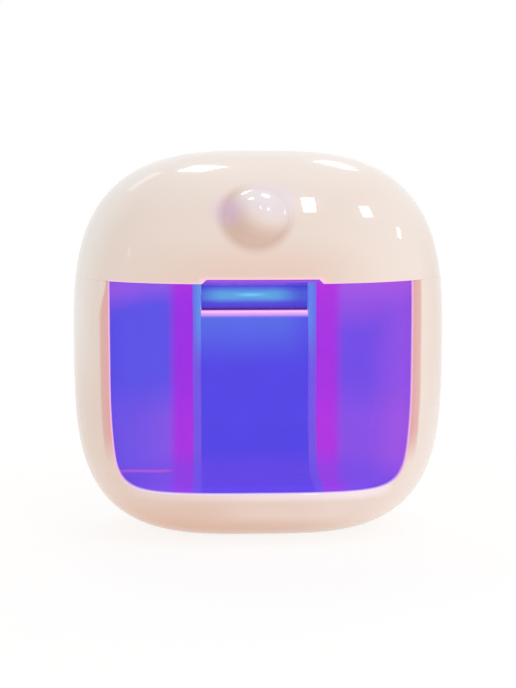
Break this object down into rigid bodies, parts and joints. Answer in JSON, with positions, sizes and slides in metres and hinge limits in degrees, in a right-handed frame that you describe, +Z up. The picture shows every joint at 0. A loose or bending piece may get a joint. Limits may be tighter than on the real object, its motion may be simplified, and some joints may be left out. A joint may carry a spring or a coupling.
{
  "type": "uv sterilizer",
  "caption": "Rounded glossy tabletop UV sterilizer for soothers and bottle teats, with a hinged lamp hood, a push button and a clear front window into a lit chamber.",
  "frame": {"origin": "on the resting surface, under the middle of the foot pad", "axes": "+Z up, the windowed front faces -Y, +X to the right seen from the front"},
  "size_m": [0.098, 0.0662, 0.1016],
  "materials": {
    "shell": "high-gloss moulded ABS, warm cream",
    "liner": "smooth moulded plastic, pale, seen in violet lamp light",
    "window": "clear violet-tinted polycarbonate that holds back UV",
    "ceiling": "satin moulded ABS",
    "rubber": "soft silicone",
    "steel": "plated steel",
    "magnet": "nickel-plated magnet",
    "board": "green solder mask",
    "component": "moulded component body",
    "lamp": "ceramic package with a yellow phosphor dome",
    "quartz": "polished quartz",
    "cell": "pouch cell in laminated foil",
    "foam": "closed-cell foam tape",
    "lead": "PVC-sleeved wire"
  },
  "bodies": {
    "body": {"body_shell": "shell", "chamber_liner": "liner", "front_window": "window", "hinge_pin": "steel", "base_pad": "rubber", "body_magnet_left": "magnet", "body_magnet_right": "magnet", "liner_screw_left": "steel", "liner_screw_right": "steel"},
    "hood": {"hood_shell": "shell", "hood_ceiling": "ceiling", "hood_gasket": "rubber", "lamp_lens": "quartz", "main_board": "board", "uv_led_1": "lamp", "uv_led_2": "lamp", "uv_led_3": "lamp", "uv_led_4": "lamp", "hood_sensor": "component", "usb_socket": "steel", "battery_pad": "foam", "battery_cell": "cell", "battery_lead": "lead", "switch_lead": "lead", "tact_switch": "component", "switch_board": "board", "status_led": "lamp", "switch_screw_left": "steel", "switch_screw_right": "steel", "hood_magnet_left": "magnet", "hood_magnet_right": "magnet", "ceiling_screw_1": "steel", "ceiling_screw_2": "steel", "ceiling_screw_3": "steel", "ceiling_screw_4": "steel", "board_screw_1": "steel", "board_screw_2": "steel", "board_screw_3": "steel", "board_screw_4": "steel"},
    "button": {"power_button": "shell", "switch_plunger": "component"}
  },
  "joints": [
    {"name": "hood_hinge", "type": "hinge", "parent": "body", "child": "hood", "pos_m": [0, 0.0305, 0.05965], "axis": [-1, 0, 0], "range_deg": [0, 95]},
    {"name": "button_press", "type": "slide", "parent": "hood", "child": "button", "axis": [0, 0.8712, -0.491], "range_m": [0, 0.0008], "stiffness_N_per_m": 700}
  ]
}
